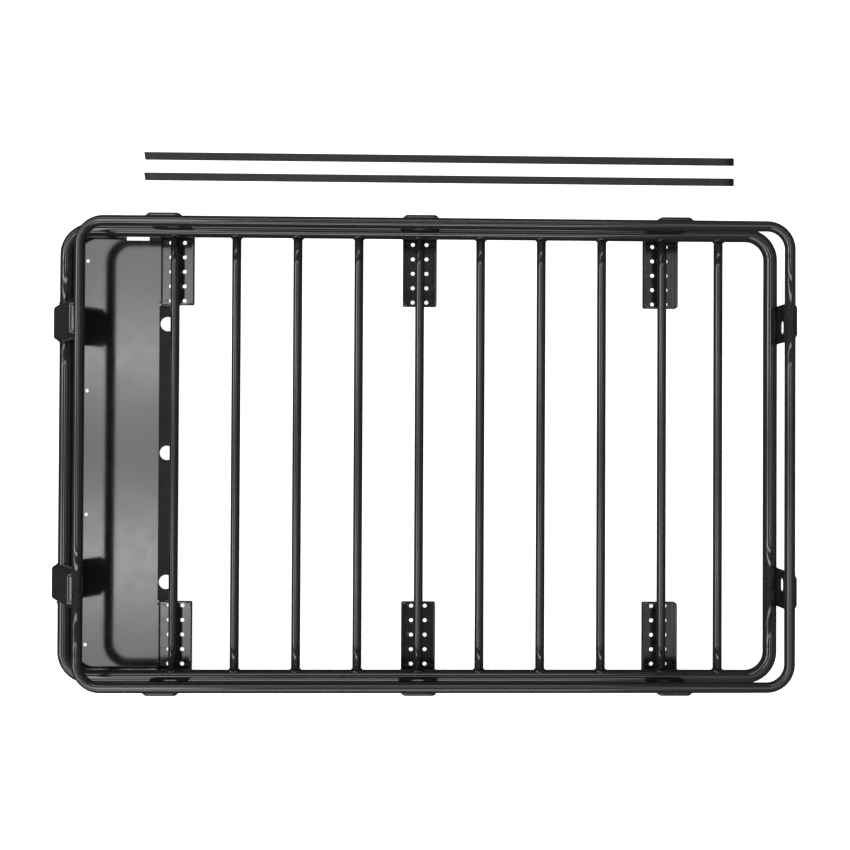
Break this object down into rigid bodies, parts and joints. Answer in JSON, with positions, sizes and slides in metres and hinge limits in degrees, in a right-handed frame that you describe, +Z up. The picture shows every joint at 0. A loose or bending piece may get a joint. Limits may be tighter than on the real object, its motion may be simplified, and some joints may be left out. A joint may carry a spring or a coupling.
{
  "type": "roof cargo basket",
  "caption": "Welded tube roof basket with a raised rail, cross bars, pressed uprights, drilled mounting trays, a front wind deflector and two loose strips.",
  "frame": {"origin": "midway between the six mounting trays, on the plane of their undersides, which the basket rests on", "axes": "+X towards the rear of the vehicle, +Y towards its right side, +Z up"},
  "size_m": [1.7968, 1.3185, 0.1847],
  "materials": {
    "frame_coat": "gloss black powder coat",
    "tray_coat": "gloss black powder coat",
    "deflector_coat": "gloss black powder coat",
    "strip": "matt charcoal"
  },
  "bodies": {
    "basket": {"lower_rail_right": "frame_coat", "lower_rail_left": "frame_coat", "upper_rail_right": "frame_coat", "upper_rail_left": "frame_coat", "cross_bar_1": "frame_coat", "cross_bar_2": "frame_coat", "cross_bar_3": "frame_coat", "cross_bar_4": "frame_coat", "cross_bar_5": "frame_coat", "cross_bar_6": "frame_coat", "cross_bar_7": "frame_coat", "cross_bar_8": "frame_coat", "cross_bar_9": "frame_coat", "cross_bar_10": "frame_coat", "side_upright_right_front": "frame_coat", "side_upright_right_middle": "frame_coat", "side_upright_right_rear": "frame_coat", "side_upright_left_front": "frame_coat", "side_upright_left_middle": "frame_coat", "side_upright_left_rear": "frame_coat", "front_upright_right": "frame_coat", "front_upright_left": "frame_coat", "rear_upright_right": "frame_coat", "rear_upright_left": "frame_coat", "tray_right_front": "tray_coat", "tray_right_middle": "tray_coat", "tray_right_rear": "tray_coat", "tray_left_front": "tray_coat", "tray_left_middle": "tray_coat", "tray_left_rear": "tray_coat", "wind_deflector": "deflector_coat"},
    "strip_near": {"loose_strip_near": "strip"},
    "strip_far": {"loose_strip_far": "strip"}
  },
  "joints": [
    {"name": "lift_near_strip", "type": "slide", "parent": "basket", "child": "strip_near", "axis": [0, 0, 1], "range_m": [0, 0.2]},
    {"name": "lift_far_strip", "type": "slide", "parent": "basket", "child": "strip_far", "axis": [0, 0, 1], "range_m": [0, 0.2]}
  ]
}
